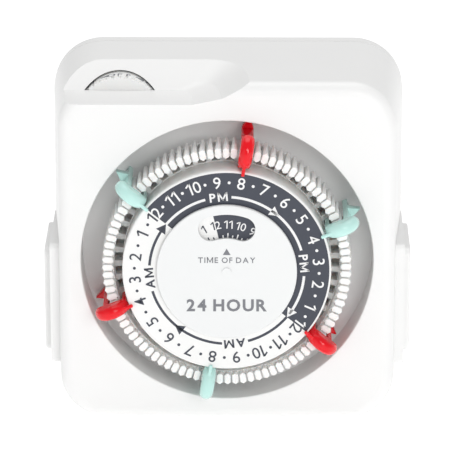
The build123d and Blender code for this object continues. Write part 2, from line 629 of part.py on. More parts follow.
def make_dial_plate():
    plate = tube(PLATE_RADIUS, HUB_RADIUS + 0.2, PLATE_Y, PLATE_BACK_Y)
    rim = [edge for edge in plate.edges().filter_by(GeomType.CIRCLE) if abs(edge.radius - PLATE_RADIUS) < 0.01]
    front_rim = [edge for edge in rim if edge.center().Y < PLATE_Y + 0.01]
    return chamfer(front_rim, 0.25)


def make_dial_hub():
    hub = tube(HUB_RADIUS, SPINDLE_RADIUS + RUNNING_GAP, PLATE_Y, HUB_BACK_Y)
    hub += tube(HUB_FLANGE_RADIUS, SPINDLE_RADIUS + RUNNING_GAP, RING_BACK_Y, RING_BACK_Y + HUB_FLANGE)
    return hub


def make_dial_gear():
    gear = slab(gear_outline(COARSE_MODULE, DIAL_TEETH, INTERMEDIATE_ANGLE), GEAR_FRONT_Y, GEAR_BACK_Y)
    gear -= disc(HUB_RADIUS, GEAR_FRONT_Y - 1, GEAR_BACK_Y + 1)
    hole_radius = 4.2
    hole_circle = 13.0
    for index in range(6):
        hole = disc(hole_radius, GEAR_FRONT_Y - 1, GEAR_BACK_Y + 1, 0, hole_circle)
        gear -= around(hole, 60 * index)
    return gear


def make_clutch_spring():
    """Dished washer that lets the dial slip on its gear when it is set by hand."""
    return tube(HUB_RADIUS + 2.2, HUB_RADIUS, GEAR_BACK_Y, GEAR_BACK_Y + 0.5)


def make_hub_clip():
    ring = tube(HUB_RADIUS + 1.4, HUB_RADIUS, GEAR_BACK_Y + 0.5, GEAR_BACK_Y + 1.2)
    gap = block(-0.8, 0.8, GEAR_BACK_Y, GEAR_BACK_Y + 2, HUB_RADIUS - 1, HUB_RADIUS + 3)
    return ring - gap


def make_dial_spindle():
    spindle = disc(SPINDLE_RADIUS, PLATE_Y - CAP_GAP, MECH_BACK_Y)
    spindle += disc(SPINDLE_RADIUS + 1.5, MECH_BACK_Y, MECH_BACK_Y + 1)
    spindle += disc(SPINDLE_RADIUS + 1.5, HUB_BACK_Y + 0.2, MECH_FRONT_Y)
    spindle -= disc(CAP_BUTTON_RADIUS - 0.3, PLATE_Y - CAP_GAP - 1, PLATE_Y + 5)
    return spindle


def make_centre_cap():
    """Still disc with a curved window onto the turning hour ring."""
    cap_y = PLATE_Y - CAP_GAP - CAP_THICKNESS
    end_radius = (WINDOW_ARC_OUTER - WINDOW_ARC_INNER) / 2
    end_circle = (WINDOW_ARC_OUTER + WINDOW_ARC_INNER) / 2
    end_x = WINDOW_HALF_WIDTH - end_radius
    end_z = sqrt(end_circle ** 2 - end_x ** 2)
    wedge = Polygon((0, 0), (2 * end_x, 2 * end_z), (-2 * end_x, 2 * end_z), align=None)
    window = (Circle(WINDOW_ARC_OUTER) - Circle(WINDOW_ARC_INNER)) & wedge
    window += [Pos(x, end_z) * Circle(end_radius) for x in (-end_x, end_x)]
    cap = disc(CAP_RADIUS, cap_y, PLATE_Y - CAP_GAP)
    front_rim = cap.faces().sort_by(Axis.Y)[0].edges()
    cap = fillet(front_rim, 0.3)
    cap -= slab(window, cap_y - 1, PLATE_Y)
    cap -= disc(CAP_BUTTON_RADIUS - 0.3, cap_y - 1, PLATE_Y)
    return cap


def make_cap_button():
    cap_y = PLATE_Y - CAP_GAP - CAP_THICKNESS
    return disc(CAP_BUTTON_RADIUS, cap_y - 0.3, cap_y) + disc(CAP_BUTTON_RADIUS - 0.3, cap_y, PLATE_Y + 4)


# ---- trippers ----
def make_tripper(angle, nose_depth):
    """Clip that straddles the crown, with a nose that strikes the star wheel."""
    back = RING_Y - CLIP_GAP
    end_y = FRONT_Y + LEG_END_DEPTH
    leg_inner = FIN_OUTER + CLIP_GAP
    leg_outer = leg_inner + LEG_THICKNESS
    trough_middle = (PLATE_RADIUS + FIN_INNER) / 2
    arch = Pos(0, back, (CLIP_INNER + CLIP_OUTER) / 2) * Rot(0, 90, 0) * Cylinder(CLIP_SPAN / 2, CLIP_WIDTH)
    arch -= block(-CLIP_WIDTH, CLIP_WIDTH, back, back + CLIP_SPAN, CLIP_INNER - 1, CLIP_OUTER + 1)
    arch = fillet(arch.edges().filter_by(GeomType.CIRCLE), CLIP_WIDTH * 0.36)
    clip = arch + block(-LEG_WIDTH / 2, LEG_WIDTH / 2, back - 1, end_y, leg_inner, leg_outer)
    clip += block(-INNER_LEG_WIDTH / 2, INNER_LEG_WIDTH / 2, back - 1, TROUGH_Y - CLIP_GAP,
                  trough_middle - INNER_LEG_THICKNESS / 2, trough_middle + INNER_LEG_THICKNESS / 2)
    sections = []
    for y, width in ((TROUGH_Y - 2, PEG_WIDTH), (RING_BACK_Y - RING_WEB - 0.5, PEG_WIDTH * 0.6)):
        outline = Pos(0, trough_middle) * Rectangle(width, PEG_THICKNESS)
        sections.append((front_view(y) * outline).faces()[0])
    clip += loft(sections, ruled=True)
    clip += block(-NUB_WIDTH / 2, NUB_WIDTH / 2, PLATE_Y - NUB_THICKNESS, PLATE_Y - CLIP_GAP / 2,
                  PLATE_RADIUS - NUB_REACH, CLIP_INNER + 2)
    nose = Polygon((-LEG_WIDTH / 2, leg_outer - 0.2), (LEG_WIDTH / 2, leg_outer - 0.2), (0.25, NOSE_RADIUS),
                   (-0.25, NOSE_RADIUS), align=None)
    nose_y = FRONT_Y + nose_depth
    clip += slab(nose, nose_y, nose_y + NOSE_THICKNESS)
    return around(clip, angle)


# ---- override ----
def make_override_drum():
    drum = disc(DRUM_RADIUS, DRUM_Y, DRUM_BACK_Y, DRUM_X, DRUM_Z)
    drum -= tube(DRUM_RADIUS - DRUM_WALL, SHAFT_RADIUS + 2, DRUM_Y + DRUM_WALL, DRUM_BACK_Y + 1, DRUM_X, DRUM_Z)
    drum -= disc(SHAFT_RADIUS, DRUM_Y - 1, DRUM_BACK_Y + 1, DRUM_X, DRUM_Z)
    scallops = []
    for index in range(DRUM_SCALLOPS):
        turn = 2 * pi * index / DRUM_SCALLOPS
        x = DRUM_X + DRUM_RADIUS * sin(turn)
        z = DRUM_Z + DRUM_RADIUS * cos(turn)
        scallops.append(disc(DRUM_SCALLOP_RADIUS, DRUM_Y - 1, DRUM_Y + DRUM_SCALLOP_LENGTH, x, z))
    return drum - scallops


def star(radius, root, points, turn):
    """Pointed star outline round the override shaft."""
    corners = []
    for index in range(2 * points):
        reach = root if index % 2 else radius
        angle = radians(turn - 180 * index / points)
        corners.append((DRUM_X + reach * sin(angle), DRUM_Z + reach * cos(angle)))
    return Polygon(*corners, align=None)


def make_star_wheel():
    """Two rows of points, half a step apart, one for each colour of tripper."""
    on_y = FRONT_Y + ON_NOSE_DEPTH - 0.4
    off_y = FRONT_Y + OFF_NOSE_DEPTH - 0.4
    towards_dial = 180 + STAR_ANGLE
    wheel = disc(STAR_ROOT, on_y, off_y + STAR_THICKNESS, DRUM_X, DRUM_Z)
    wheel += slab(star(STAR_RADIUS, STAR_ROOT, STAR_POINTS, towards_dial), on_y, on_y + STAR_THICKNESS)
    wheel += slab(star(STAR_RADIUS, STAR_ROOT, STAR_POINTS, towards_dial + 180 / STAR_POINTS), off_y,
                  off_y + STAR_THICKNESS)
    return wheel - disc(SHAFT_RADIUS, on_y - 1, off_y + STAR_THICKNESS + 1, DRUM_X, DRUM_Z)


def make_switch_cam():
    lobes = star(CAM_LOBE * 1.3, CAM_VALLEY * 0.92, STAR_POINTS, 45) & (Pos(DRUM_X, DRUM_Z) * Circle(CAM_LOBE))
    cam = slab(lobes + Pos(DRUM_X, DRUM_Z) * Circle(CAM_VALLEY), CAM_Y, CAM_BACK_Y)
    return cam - disc(SHAFT_RADIUS, CAM_Y - 1, CAM_BACK_Y + 1, DRUM_X, DRUM_Z)


def make_override_shaft():
    return disc(SHAFT_RADIUS, FRONT_Y + WALL / 2 + 0.1, REAR_INNER_Y - 0.8, DRUM_X, DRUM_Z)


def make_switch_lever():
    y_front = CAM_Y + 0.1
    y_back = CAM_BACK_Y - 0.1
    lever = disc(LEVER_BOSS, y_front, y_back, LEVER_X, LEVER_Z)
    lever += block(LEVER_X - LEVER_THICKNESS / 2, LEVER_X + LEVER_THICKNESS / 2, y_front, y_back,
                   LEVER_Z - LEVER_DROP, LEVER_Z)
    return lever - disc(LEVER_PIN_RADIUS + RUNNING_GAP, y_front - 1, y_back + 1, LEVER_X, LEVER_Z)


def make_contact(x, bar_y, button_side):
    """Upright strip with a contact button and a tail to its busbar."""
    z_low = LEVER_Z - LEVER_DROP - 3
    z_high = LEVER_Z - LEVER_DROP + 6
    strip_half = 0.25
    contact = block(x - strip_half, x + strip_half, CAM_Y + 0.3, CAM_BACK_Y - 0.3, z_low, z_high)
    contact += block(x - strip_half, x + strip_half, CAM_Y + 0.3, bar_y - BAR, z_low, z_low + 2.5)
    button = Pos(x + button_side * 0.5, (CAM_Y + CAM_BACK_Y) / 2, z_high - 2) * Rot(0, 90, 0)
    return contact + button * Cylinder(1.0, 0.7)


def make_detent_spring():
    x = DRUM_X - STAR_RADIUS - SPRING_GAP
    leaf = block(x - 0.25, x, FRONT_Y + 3, FRONT_Y + 8, DRUM_Z - 6, DRUM_Z + 5)
    return leaf + block(x - SPRING_FOOT, x, FRONT_Y + 3, FRONT_Y + 8, DRUM_Z - 6, DRUM_Z - 4)


# ---- movement ----
def make_mechanism_plate():
    height = PLATE_TOP_Z - PLATE_BOTTOM_Z
    plate = slab(Pos(0, (PLATE_TOP_Z + PLATE_BOTTOM_Z) / 2) * RectangleRounded(2 * PLATE_HALF_WIDTH, height, 3),
                 MECH_FRONT_Y, MECH_BACK_Y)
    for x in (-PLATE_POST_X, PLATE_POST_X):
        for z in (-PLATE_POST_Z, PLATE_POST_Z):
            plate -= disc(SCREW_RADIUS + FIT_GAP, MECH_FRONT_Y - 1, MECH_BACK_Y + 1, x, z)
    plate -= disc(SPINDLE_RADIUS, MECH_FRONT_Y - 1, MECH_BACK_Y + 1)
    plate -= disc(AXLE_RADIUS, MECH_FRONT_Y - 1, MECH_BACK_Y + 1, INTERMEDIATE_X, INTERMEDIATE_Z)
    plate -= disc(AXLE_RADIUS + 1.5, MECH_FRONT_Y - 1, MECH_BACK_Y + 1, MOTOR_X, MOTOR_Z)
    for x, z in ear_places():
        plate -= disc(SCREW_RADIUS, MECH_FRONT_Y - 1, MECH_BACK_Y + 1, x, z)
    return plate


def make_plate_screws():
    screws = []
    for x in (-PLATE_POST_X, PLATE_POST_X):
        for z in (-PLATE_POST_Z, PLATE_POST_Z):
            screw = disc(SCREW_RADIUS, FLOOR_BACK_Y + 1.5, MECH_BACK_Y, x, z)
            screws.append(screw + disc(HEAD_RADIUS, MECH_BACK_Y, MECH_BACK_Y + HEAD_HEIGHT, x, z))
    return Compound(children=screws)


def ear_places():
    """Where the motor's two ears take their screws."""
    reach_x = EAR_DISTANCE * cos(radians(EAR_TURN))
    reach_z = EAR_DISTANCE * sin(radians(EAR_TURN))
    return [(MOTOR_X + reach_x, MOTOR_Z + reach_z), (MOTOR_X - reach_x, MOTOR_Z - reach_z)]


def make_motor_case():
    case = disc(MOTOR_RADIUS, MECH_BACK_Y, MOTOR_BACK_Y - MOTOR_CAP, MOTOR_X, MOTOR_Z)
    ears = strip(ear_places(), 2 * POST_RADIUS, MECH_BACK_Y, MECH_BACK_Y + 1)
    case += ears
    for x, z in ear_places():
        case -= disc(SCREW_RADIUS + FIT_GAP, MECH_BACK_Y - 1, MECH_BACK_Y + 2, x, z)
    terminals = block(MOTOR_X + 2, MOTOR_X + 12, MECH_BACK_Y + 3, MOTOR_BACK_Y - 2, MOTOR_Z + 8, MOTOR_Z + 15)
    case += terminals
    return case - disc(AXLE_RADIUS + RUNNING_GAP, MECH_BACK_Y - 1, MECH_BACK_Y + 3, MOTOR_X, MOTOR_Z)


def make_motor_cap():
    return disc(MOTOR_RADIUS - 0.5, MOTOR_BACK_Y - MOTOR_CAP, MOTOR_BACK_Y, MOTOR_X, MOTOR_Z)


def make_motor_screws():
    screws = []
    for x, z in ear_places():
        screw = disc(SCREW_RADIUS, MECH_FRONT_Y, MECH_BACK_Y + 1, x, z)
        screws.append(screw + disc(HEAD_RADIUS, MECH_BACK_Y + 1, MECH_BACK_Y + 1 + HEAD_HEIGHT, x, z))
    return Compound(children=screws)


def make_motor_pinion():
    away = MOTOR_ANGLE + 180
    pinion = slab(Pos(MOTOR_X, MOTOR_Z) * gear_outline(FINE_MODULE, PINION_TEETH, away + 180 / PINION_TEETH),
                  WHEEL_FRONT_Y, WHEEL_BACK_Y)
    return pinion + disc(AXLE_RADIUS, WHEEL_BACK_Y - 0.2, MECH_BACK_Y + 2.8, MOTOR_X, MOTOR_Z)


def make_intermediate_gear():
    away = INTERMEDIATE_ANGLE + 180
    place = Pos(INTERMEDIATE_X, INTERMEDIATE_Z)
    gear = slab(place * gear_outline(COARSE_MODULE, PINION_TEETH, away + 180 / PINION_TEETH),
                GEAR_FRONT_Y - 0.2, WHEEL_FRONT_Y)
    gear += slab(place * gear_outline(FINE_MODULE, WHEEL_TEETH, MOTOR_ANGLE), WHEEL_FRONT_Y, WHEEL_BACK_Y)
    return gear - disc(AXLE_RADIUS + RUNNING_GAP, GEAR_FRONT_Y - 1, WHEEL_BACK_Y + 1, INTERMEDIATE_X, INTERMEDIATE_Z)


def make_intermediate_axle():
    return disc(AXLE_RADIUS, FLOOR_BACK_Y - WELL_FLOOR / 2 + 0.05, MECH_BACK_Y, INTERMEDIATE_X, INTERMEDIATE_Z)


def make_lead(start, end, middle_z):
    """Insulated lead from the motor's terminals to a busbar."""
    route = FilletPolyline(
        start, (start[0], start[1], middle_z), (end[0], start[1], middle_z), (end[0], start[1], end[2]), end,
        radius=1.2)
    return sweep(Plane(origin=route @ 0, z_dir=route % 0) * Circle(LEAD_RADIUS), path=route)


def make_leads():
    top = MOTOR_Z + 15
    line_end = (BLADE_X + 0.5, LINE_BAR_Y - BAR, BLADE_Z - 0.5)
    neutral_end = (-BLADE_X, NEUTRAL_BAR_Y - BAR, BLADE_Z - 4)
    lead_y = MECH_BACK_Y + 4.2
    return {
        "motor_line_lead": make_lead((MOTOR_X + 10.5, lead_y, top), line_end, top + 4),
        "motor_neutral_lead": make_lead((MOTOR_X + 3.5, lead_y, top), neutral_end, top + 4),
    }


# ---- every node ----
def main():
    os.makedirs("parts", exist_ok=True)
    nodes = {
        "front_cover": make_front_cover(),
        "rear_cover": make_rear_cover(),
        "case_screws": make_case_screws(),
        "line_blade": make_blade(BLADE_X, LINE_BAR_Y),
        "neutral_blade": make_blade(-BLADE_X, NEUTRAL_BAR_Y),
        "ground_pin": make_ground_pin(),
        "dial_ring": make_dial_ring(),
        "dial_plate": make_dial_plate(),
        "dial_hub": make_dial_hub(),
        "dial_gear": make_dial_gear(),
        "clutch_spring": make_clutch_spring(),
        "hub_clip": make_hub_clip(),
        "dial_spindle": make_dial_spindle(),
        "centre_cap": make_centre_cap(),
        "cap_button": make_cap_button(),
        "override_drum": make_override_drum(),
        "star_wheel": make_star_wheel(),
        "switch_cam": make_switch_cam(),
        "override_shaft": make_override_shaft(),
        "switch_lever": make_switch_lever(),
        "lever_pin": disc(LEVER_PIN_RADIUS, CAM_Y - 0.2, REAR_INNER_Y, LEVER_X, LEVER_Z),
        "moving_contact": make_contact(LEVER_X + 2.4, LOAD_BAR_Y, 1),
        "fixed_contact": make_contact(LEVER_X + 5.6, LINE_BAR_Y, -1),
        "detent_spring": make_detent_spring(),
        "mechanism_plate": make_mechanism_plate(),
        "plate_screws": make_plate_screws(),
        "motor_case": make_motor_case(),
        "motor_cap": make_motor_cap(),
        "motor_screws": make_motor_screws(),
        "motor_pinion": make_motor_pinion(),
        "intermediate_gear": make_intermediate_gear(),
        "intermediate_axle": make_intermediate_axle(),
    }
    nodes.update(make_busbars())
    nodes.update(make_leads())
    for side, word in ((1, "right"), (-1, "left")):
        line_y, neutral_y = blade_places(side)
        nodes[f"{word}_outlet_face"] = make_outlet_face(side)
        nodes[f"{word}_line_clip"] = blade_clip(side, line_y, LOAD_BAR_Y - BAR, 2)
        nodes[f"{word}_neutral_clip"] = blade_clip(side, neutral_y, NEUTRAL_BAR_Y - BAR, -2)
        nodes[f"{word}_ground_clip"] = ground_clip(side)
    for kind, angles, depth in (("off", OFF_ANGLES, OFF_NOSE_DEPTH), ("on", ON_ANGLES, ON_NOSE_DEPTH)):
        for number, angle in enumerate(angles, start=1):
            nodes[f"{kind}_tripper_{number}"] = make_tripper(angle, depth)
    for name, shape in nodes.items():
        save(name, shape)


main()
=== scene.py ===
"""Visible surfaces of a plug-in programmable timer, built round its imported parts."""
import json
from math import asin, cos, degrees, pi, radians, sin

import bpy
from mathutils import Matrix, Vector


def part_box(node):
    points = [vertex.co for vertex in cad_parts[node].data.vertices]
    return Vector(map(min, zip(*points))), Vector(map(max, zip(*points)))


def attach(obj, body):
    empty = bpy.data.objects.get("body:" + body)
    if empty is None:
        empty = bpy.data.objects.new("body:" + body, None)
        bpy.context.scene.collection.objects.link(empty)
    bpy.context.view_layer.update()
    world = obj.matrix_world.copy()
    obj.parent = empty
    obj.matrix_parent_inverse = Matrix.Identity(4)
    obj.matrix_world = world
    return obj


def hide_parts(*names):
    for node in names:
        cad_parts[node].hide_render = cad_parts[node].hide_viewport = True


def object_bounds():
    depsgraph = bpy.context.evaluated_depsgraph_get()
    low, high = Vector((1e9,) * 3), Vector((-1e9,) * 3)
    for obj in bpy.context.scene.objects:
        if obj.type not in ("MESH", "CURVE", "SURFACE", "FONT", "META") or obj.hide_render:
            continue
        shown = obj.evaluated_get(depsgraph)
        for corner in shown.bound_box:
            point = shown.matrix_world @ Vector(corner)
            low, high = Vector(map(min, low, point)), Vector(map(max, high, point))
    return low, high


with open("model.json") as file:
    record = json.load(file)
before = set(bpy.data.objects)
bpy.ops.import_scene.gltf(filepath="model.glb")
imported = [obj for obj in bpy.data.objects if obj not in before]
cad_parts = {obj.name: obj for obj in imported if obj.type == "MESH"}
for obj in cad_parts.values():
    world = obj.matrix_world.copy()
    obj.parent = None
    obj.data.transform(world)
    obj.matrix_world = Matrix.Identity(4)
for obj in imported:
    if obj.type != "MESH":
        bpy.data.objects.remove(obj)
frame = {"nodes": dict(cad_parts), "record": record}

bl_info = {
    "name": "Programmable Timer",
    "version": (1, 0, 0),
    "blender": (4, 5, 0),
    "location": "3D View > Sidebar > Timer",
    "description": "Builds the dial print, trippers and finishes of a plug-in timer",
    "category": "Add Mesh",
}

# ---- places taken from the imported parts, in metres ----
MM = 0.001
CAD_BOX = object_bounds()
PLATE_LOW, PLATE_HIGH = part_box("dial_plate")
CAP_LOW, CAP_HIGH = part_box("centre_cap")
DRUM_LOW, DRUM_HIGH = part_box("override_drum")
PLATE_FRONT = PLATE_LOW.y
PLATE_EDGE = PLATE_HIGH.x
CAP_FRONT = CAP_LOW.y
CAP_EDGE = CAP_HIGH.x
FACE_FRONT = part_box("front_cover")[0].y
RING_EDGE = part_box("dial_ring")[1].x     # fins' outer points
DRUM_CENTRE = (DRUM_LOW + DRUM_HIGH) / 2
DRUM_RADIUS = (DRUM_HIGH.x - DRUM_LOW.x) / 2

# ---- sizes of the prints, in metres and in degrees clockwise from the top ----
INK = 0.03 * MM              # how far a print stands proud
MIDNIGHT = -51.0             # where midnight stands on the dial
NOW_ANGLE = -13.2            # where midnight stands in the cap's window
HOUR_STEP = 15.0
HALF_DAY = 180.0
STROKE_SHARE = 0.135         # stroke of a drawn figure, over its height
SPACE_SHARE = 0.36           # gap between words, over the height
FONT_SHARE = 0.72            # height of a capital, over the font's size
ARCS = ((0, 35), (54.5, 70.2), (145, 32))    # start and sweep of each arc of a half day
ARROWS = (93, 180)           # tips of the arrowheads of a half day
HALF_DAY_WORDS = (45, 135)   # AM or PM of a half day
WORD_HEIGHT = 2.1 * MM
DOT_CORNERS = 14
NIGHT_INSIDE = 1.5 * MM      # how far the night half runs in under the cap's edge
NIGHT_MARGIN = 0.45 * MM     # white rim outside the night half
RING_BAND = (6.5 * MM, 14.9 * MM)            # radii of the hour ring's night half
RING_WEIGHT = 0.01 * MM      # extra thickness of the hour ring's strokes
TICK_FOOT = 8.0 * MM
HOUR_TICK = (9.35 * MM, -0.9, 1.8)           # head's radius, start and sweep
HALF_HOUR_TICK = (8.85 * MM, 6.5, 2.0)
POINTER_SIZE = 1.05 * MM     # the pointer, caption and title are on the cap
POINTER_UP = 4.81 * MM
CAPTION_HEIGHT = 1.38 * MM
CAPTION_UP = 3.0 * MM
TITLE_HEIGHT = 2.9 * MM
TITLE_UP = -8.2 * MM
DRUM_SECTORS = 8
DRUM_PRINT_DEPTH = 2.2 * MM  # middle of the letters to the drum's front
DRUM_LETTER_HEIGHT = 2.0 * MM
DRUM_LETTER_SPREAD = 11.0
DRUM_ARROW_SIZE = 0.95 * MM
DRUM_ARROW_STRETCH = 1.5
DRUM_ARROW_SHIFT = -17.5

# ---- sizes of a tripper, made at the top of the dial ----
CLIP_INNER = PLATE_EDGE + 0.3 * MM
CLIP_SPAN = 8.3 * MM
CLIP_WIDTH = 3.2 * MM
CLIP_ROUNDING = 1.5 * MM
CLIP_GRAIN = 0.13 * MM       # mesh size when its blocks melt together
LEG_OVERLAP = 1.0 * MM       # how far the legs run into the arch
INNER_LEG_DEPTH = 1.0 * MM   # inner leg's end behind the front face
OUTER_LEG_WIDTH = 2.96 * MM
OUTER_LEG_SPAN = (RING_EDGE + 0.32 * MM, RING_EDGE + 1.55 * MM)
INNER_LEG_WIDTH = 2.76 * MM
INNER_LEG_SPAN = (25.1 * MM, 26.2 * MM)
PEG_WIDTH = 1.2 * MM
PEG_DEPTH = 6.6 * MM
PEG_SPAN = (25.25 * MM, 26.05 * MM)
NUB_WIDTH = 0.8 * MM
NUB_THICKNESS = 0.83 * MM
NUB_LIFT = 0.17 * MM         # nub's back to the dial plate
NUB_REACH = 0.88 * MM        # how far the nub lies over the dial plate
NUB_ROOT = 1.5 * MM          # nub's far end to the arch's middle
NOSE_SIZE = (1.7 * MM, 2.15 * MM, 1.95 * MM)
NOSE_OUT = 2.42 * MM         # nose's middle to the fins' points
NOSE_HALF_DEPTH = 1.1 * MM
TRIPPERS = (
    # kind, angles, slot, nose's depth behind the front face
    ("off", (9, 129, 249), "red_clip", 7.8 * MM),
    ("on", (69, 189, 309), "mint_clip", 3.0 * MM),
)

# ---- the stage ----
AIM_RIGHT = 0.47 * MM        # middle of the picture to the dial's axis
AIM_UP = 7.62 * MM
LIGHTS = (
    # name, place, size, power in watts
    ("key_light", (0.4, -1.05, 0.35), 0.45, 3.1),
    ("fill_light", (-0.8, -0.75, 0.12), 0.8, 0.9),
    ("spark_light", (0.05, -0.8, 0.45), 0.1, 0.35),
    ("top_light", (0.0, 0.25, 1.1), 0.9, 5.5),
)


# ---- settings a user may change ----
class TimerSizes(bpy.types.PropertyGroup):
    """Sizes of the prints on the dial"""
    numeral: bpy.props.FloatProperty(
        name="Numeral Height", description="Height of the hour numerals", default=2.9 * MM, unit="LENGTH")
    numeral_circle: bpy.props.FloatProperty(
        name="Numeral Circle", description="Radius of the circle the numerals stand on", default=21.7 * MM,
        unit="LENGTH")
    numeral_weight: bpy.props.FloatProperty(
        name="Numeral Weight", description="Extra thickness of each stroke's edge", default=0.02 * MM,
        unit="LENGTH")
    dot: bpy.props.FloatProperty(
        name="Dot Radius", description="Radius of the half-hour dots", default=0.36 * MM, unit="LENGTH")
    arc_width: bpy.props.FloatProperty(
        name="Arc Width", description="Width of the printed arcs", default=0.62 * MM, unit="LENGTH")
    arc_circle: bpy.props.FloatProperty(
        name="Arc Circle", description="Radius of the printed arcs", default=18.2 * MM, unit="LENGTH")
    arrow: bpy.props.FloatProperty(
        name="Arrow Size", description="Reach of an arrowhead from its middle", default=1.5 * MM,
        unit="LENGTH")
    ring_numeral: bpy.props.FloatProperty(
        name="Ring Numeral Height", description="Height of the numerals in the window", default=2.0 * MM,
        unit="LENGTH")
    ring_circle: bpy.props.FloatProperty(
        name="Ring Circle", description="Radius of the circle of numerals in the window",
        default=11.45 * MM, unit="LENGTH")


class TimerColours(bpy.types.PropertyGroup):
    """Colours of the main finishes"""
    covers: bpy.props.FloatVectorProperty(
        name="Covers", description="White of the covers", default=(0.86, 0.86, 0.855), subtype="COLOR",
        min=0, max=1)
    slate: bpy.props.FloatVectorProperty(
        name="Slate", description="Ink of the night half", default=(0.046, 0.052, 0.072), subtype="COLOR",
        min=0, max=1)
    off_clip: bpy.props.FloatVectorProperty(
        name="Off Trippers", description="Red of the trippers that switch off", default=(0.78, 0.0, 0.008),
        subtype="COLOR", min=0, max=1)
    on_clip: bpy.props.FloatVectorProperty(
        name="On Trippers", description="Green of the trippers that switch on", default=(0.52, 0.79, 0.74),
        subtype="COLOR", min=0, max=1)


class TimerStage(bpy.types.PropertyGroup):
    """Where the camera stands"""
    distance: bpy.props.FloatProperty(
        name="Distance", description="Camera to the dial", default=0.9, unit="LENGTH")
    elevation: bpy.props.FloatProperty(
        name="Elevation", description="Camera above the dial's axis", default=radians(18.3),
        subtype="ANGLE")
    azimuth: bpy.props.FloatProperty(
        name="Azimuth", description="Camera to the right of the dial's axis", default=radians(0.5),
        subtype="ANGLE")
    lens: bpy.props.FloatProperty(name="Lens", description="Focal length in millimetres", default=299.0)


# ---- helpers ----
def only(obj):
    """Select one object and make it active."""
    bpy.ops.object.select_all(action="DESELECT")
    obj.select_set(True)
    bpy.context.view_layer.objects.active = obj


def settle(obj):
    """Put an object's place, turn and size into its mesh."""
    only(obj)
    bpy.ops.object.transform_apply(location=True, rotation=True, scale=True)
    return obj


def place(obj, matrix):
    """Move an object by a matrix and settle it."""
    obj.matrix_world = matrix @ obj.matrix_world
    return settle(obj)


def round_dial(angle):
    """Turn clockwise round the dial's axis, in degrees."""
    return Matrix.Rotation(radians(angle), 4, "Y")


def set_on_circle(obj, circle, angle, y=0.0):
    """Carry a piece from the origin up to a circle, then clockwise to an angle."""
    place(obj, Matrix.Translation((0, y, circle)))
    return place(obj, round_dial(angle))


def modify(obj, kind, **values):
    """Add a modifier with its values and apply it."""
    only(obj)
    modifier = obj.modifiers.new(kind.title(), kind)
    for name, value in values.items():
        setattr(modifier, name, value)
    bpy.ops.object.modifier_apply(modifier=modifier.name)


def tidy_normals(obj):
    """Merge doubles and point every face outwards."""
    only(obj)
    bpy.ops.object.mode_set(mode="EDIT")
    bpy.ops.mesh.select_all(action="SELECT")
    bpy.ops.mesh.remove_doubles(threshold=1e-6)
    bpy.ops.mesh.normals_make_consistent(inside=False)
    bpy.ops.object.mode_set(mode="OBJECT")


def join(objects):
    """Join several objects into the first."""
    bpy.ops.object.select_all(action="DESELECT")
    for obj in objects:
        obj.select_set(True)
    bpy.context.view_layer.objects.active = objects[0]
    if len(objects) > 1:
        bpy.ops.object.join()
    return objects[0]


def own(obj, name, body, material, replaced=()):
    """Name a finished piece, give it its finish and let it ride on its body."""
    obj.name = name
    obj.data.name = name
    obj.data.materials.clear()
    obj.data.materials.append(material)
    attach(obj, body)
    if replaced:
        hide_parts(*replaced)
    return obj


def swept_band(inner, outer, y_front, y_back, start, sweep):
    """Flat band round the dial's axis, from one clockwise angle through another."""
    bpy.ops.object.select_all(action="DESELECT")
    bpy.ops.mesh.primitive_plane_add(size=1, rotation=(0, pi / 2, 0))
    band = bpy.context.active_object
    band.scale = (outer - inner, y_back - y_front, 1)
    band.location = (0, (y_front + y_back) / 2, (inner + outer) / 2)
    settle(band)
    place(band, round_dial(start))
    bpy.ops.object.mode_set(mode="EDIT")
    bpy.ops.mesh.select_all(action="SELECT")
    steps = max(2, round(abs(sweep) / 3))
    bpy.ops.mesh.spin(steps=steps, angle=radians(-sweep), center=(0, 0, 0), axis=(0, 1, 0))
    bpy.ops.object.mode_set(mode="OBJECT")
    tidy_normals(band)
    return band


def flat_shape(vertices, radius, y_front):
    """Printed regular shape that faces the front, with a corner at its top."""
    bpy.ops.object.select_all(action="DESELECT")
    bpy.ops.mesh.primitive_circle_add(vertices=vertices, radius=radius, fill_type="NGON",
                                      rotation=(pi / 2, 0, 0))
    shape = bpy.context.active_object
    shape.location = (0, y_front + INK, 0)
    settle(shape)
    bpy.ops.object.mode_set(mode="EDIT")
    bpy.ops.mesh.select_all(action="SELECT")
    bpy.ops.mesh.extrude_region_move(TRANSFORM_OT_translate={"value": (0, -INK, 0)})
    bpy.ops.object.mode_set(mode="OBJECT")
    tidy_normals(shape)
    return shape


def bar(x, z, width, length, lean=0.0):
    """Straight printed stroke in the plane y = 0, leaning clockwise by some degrees."""
    bpy.ops.object.select_all(action="DESELECT")
    bpy.ops.mesh.primitive_cube_add(size=1, location=(x, 0, z), rotation=(0, radians(lean), 0))
    stroke = bpy.context.active_object
    stroke.scale = (width, INK, length)
    return settle(stroke)


def trim(obj, height):
    """Cut a glyph level at its head and foot."""
    only(obj)
    bpy.ops.object.mode_set(mode="EDIT")
    for z, side in ((height / 2, 1), (-height / 2, -1)):
        bpy.ops.mesh.select_all(action="SELECT")
        bpy.ops.mesh.bisect(plane_co=(0, 0, z), plane_no=(0, 0, side), use_fill=True, clear_outer=True)
    bpy.ops.object.mode_set(mode="OBJECT")
    return obj


def digit_one(height, stroke):
    """Figure 1 with a slanting flag."""
    flag_lean = 52
    stem = bar(0, 0, stroke, height)
    flag = bar(-0.16 * height, 0.36 * height, 0.9 * stroke, 0.46 * height, flag_lean)
    return trim(join([stem, flag]), height)


def letter_m(height, stroke):
    """Capital M with upright sides."""
    half_width = 0.4 * height + stroke / 4
    slant_lean = 28
    bars = [bar(side * half_width, 0, stroke, height) for side in (-1, 1)]
    for side in (-1, 1):
        bars.append(bar(side * half_width / 2, 0.1 * height, 0.8 * stroke, 1.1 * height, side * slant_lean))
    return trim(join(bars), height)


